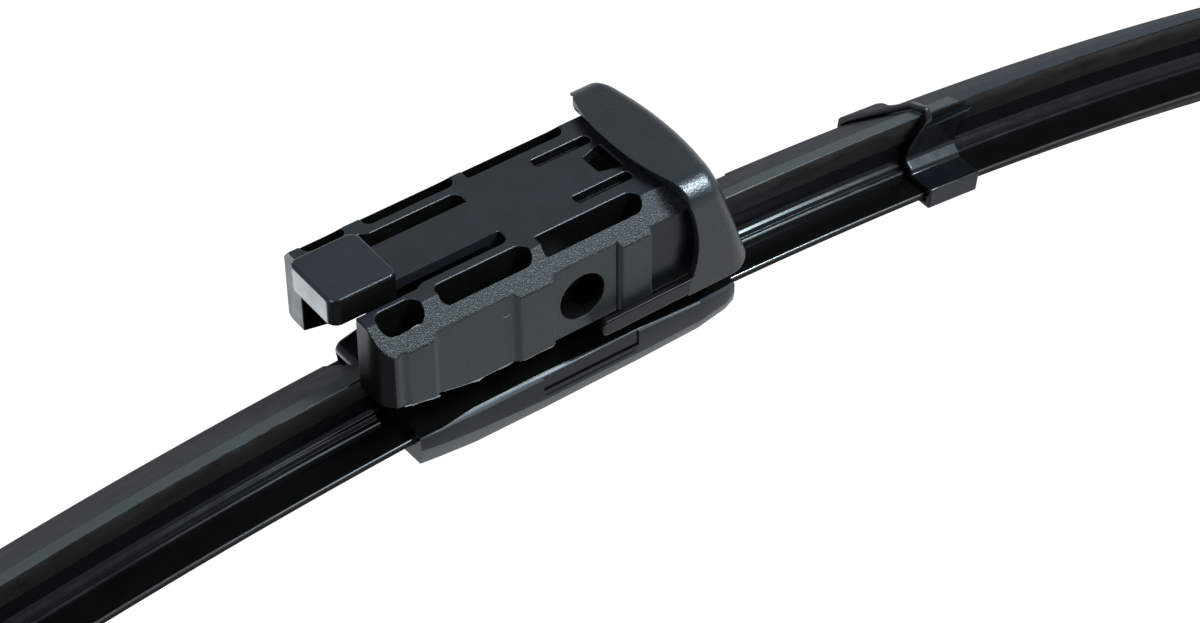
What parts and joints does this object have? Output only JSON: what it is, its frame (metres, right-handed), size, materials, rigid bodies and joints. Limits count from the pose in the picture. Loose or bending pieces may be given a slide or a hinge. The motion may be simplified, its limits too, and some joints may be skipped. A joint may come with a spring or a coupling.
{
  "type": "wiper blade",
  "caption": "Black flat wiper blade with a push-button arm adapter, a shroud over the arm end and a curved rubber spoiler on spring steel rails.",
  "frame": {"origin": "middle of the adapter's flat top, straight above the pivot axis", "axes": "+X along the blade towards the shroud, +Z away from the glass, -Y is the side that the spoiler's hollow face looks to"},
  "size_m": [0.4444, 0.0226, 0.0764],
  "materials": {
    "adapter_plastic": "satin",
    "shroud_plastic": "satin",
    "pin_steel": "satin",
    "base_plastic": "satin",
    "rail_steel": "gloss",
    "spoiler_rubber": "matte",
    "wiper_rubber": "matte",
    "clip_plastic": "satin",
    "cap_plastic": "satin"
  },
  "bodies": {
    "adapter": {"adapter_body": "adapter_plastic", "end_shroud": "shroud_plastic"},
    "tongue": {"release_tongue": "adapter_plastic"},
    "blade": {"base_bridge": "base_plastic", "pivot_pin": "pin_steel", "rail_near": "rail_steel", "rail_far": "rail_steel", "spoiler_left": "spoiler_rubber", "spoiler_right": "spoiler_rubber", "wiper_rubber": "wiper_rubber", "spoiler_clip": "clip_plastic", "end_cap_left": "cap_plastic", "end_cap_right": "cap_plastic"}
  },
  "joints": [
    {"name": "blade_pivot", "type": "hinge", "parent": "adapter", "child": "blade", "pos_m": [0, 0, -0.0076], "axis": [0, 1, 0], "range_deg": [-10, 10]},
    {"name": "button_press", "type": "hinge", "parent": "adapter", "child": "tongue", "pos_m": [-0.0068, 0, -0.0007], "axis": [0, -1, 0], "range_deg": [0, 7], "stiffness_Nm_per_rad": 0.05}
  ]
}
